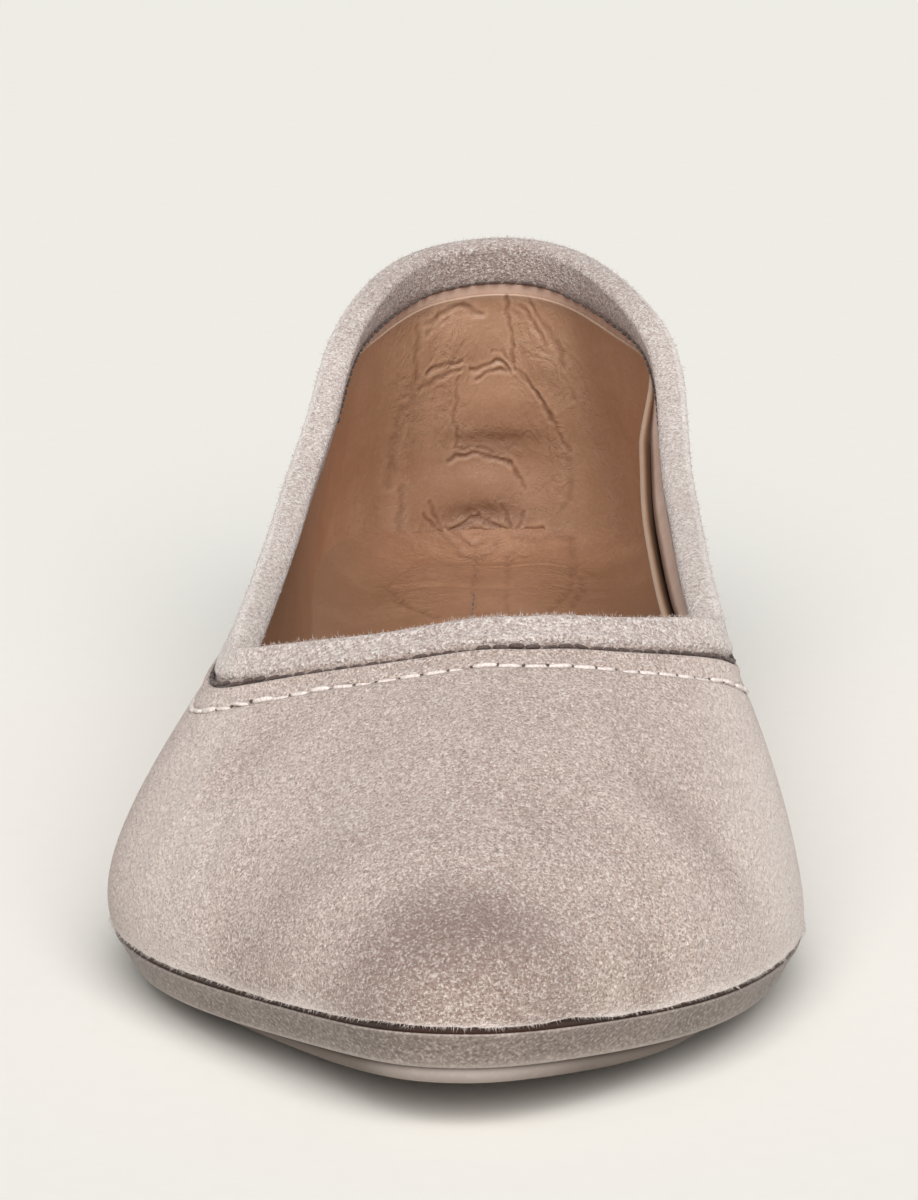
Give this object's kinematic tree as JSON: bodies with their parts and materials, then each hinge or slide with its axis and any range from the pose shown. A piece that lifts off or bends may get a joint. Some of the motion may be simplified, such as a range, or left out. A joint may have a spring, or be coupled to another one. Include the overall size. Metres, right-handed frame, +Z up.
{
  "type": "ballet flat",
  "caption": "Right suede ballet flat with a rolled topline binding, squared throat, almond toe, wrapped midsole and low heel block.",
  "frame": {"origin": "middle of the shoe's box, on the floor it stands on", "axes": "toe to -Y, heel to +Y, inner (medial) side of the right foot to +X, +Z up"},
  "size_m": [0.0844, 0.2412, 0.0639],
  "materials": {
    "suede": "greige suede with a fine brushed nap, rough and without gloss",
    "binding_suede": "the same suede folded over the top edge and stitched down",
    "wrapped_rand": "fine grained taupe cover, matt",
    "lining_leather": "smooth tan leather with soft wrinkles and a low sheen",
    "outsole_rubber": "plain matt greige rubber"
  },
  "bodies": {
    "root": {"outsole": "outsole_rubber", "heel": "outsole_rubber", "midsole": "wrapped_rand", "insole": "lining_leather", "upper": "suede", "topline_binding": "binding_suede"}
  },
  "joints": []
}
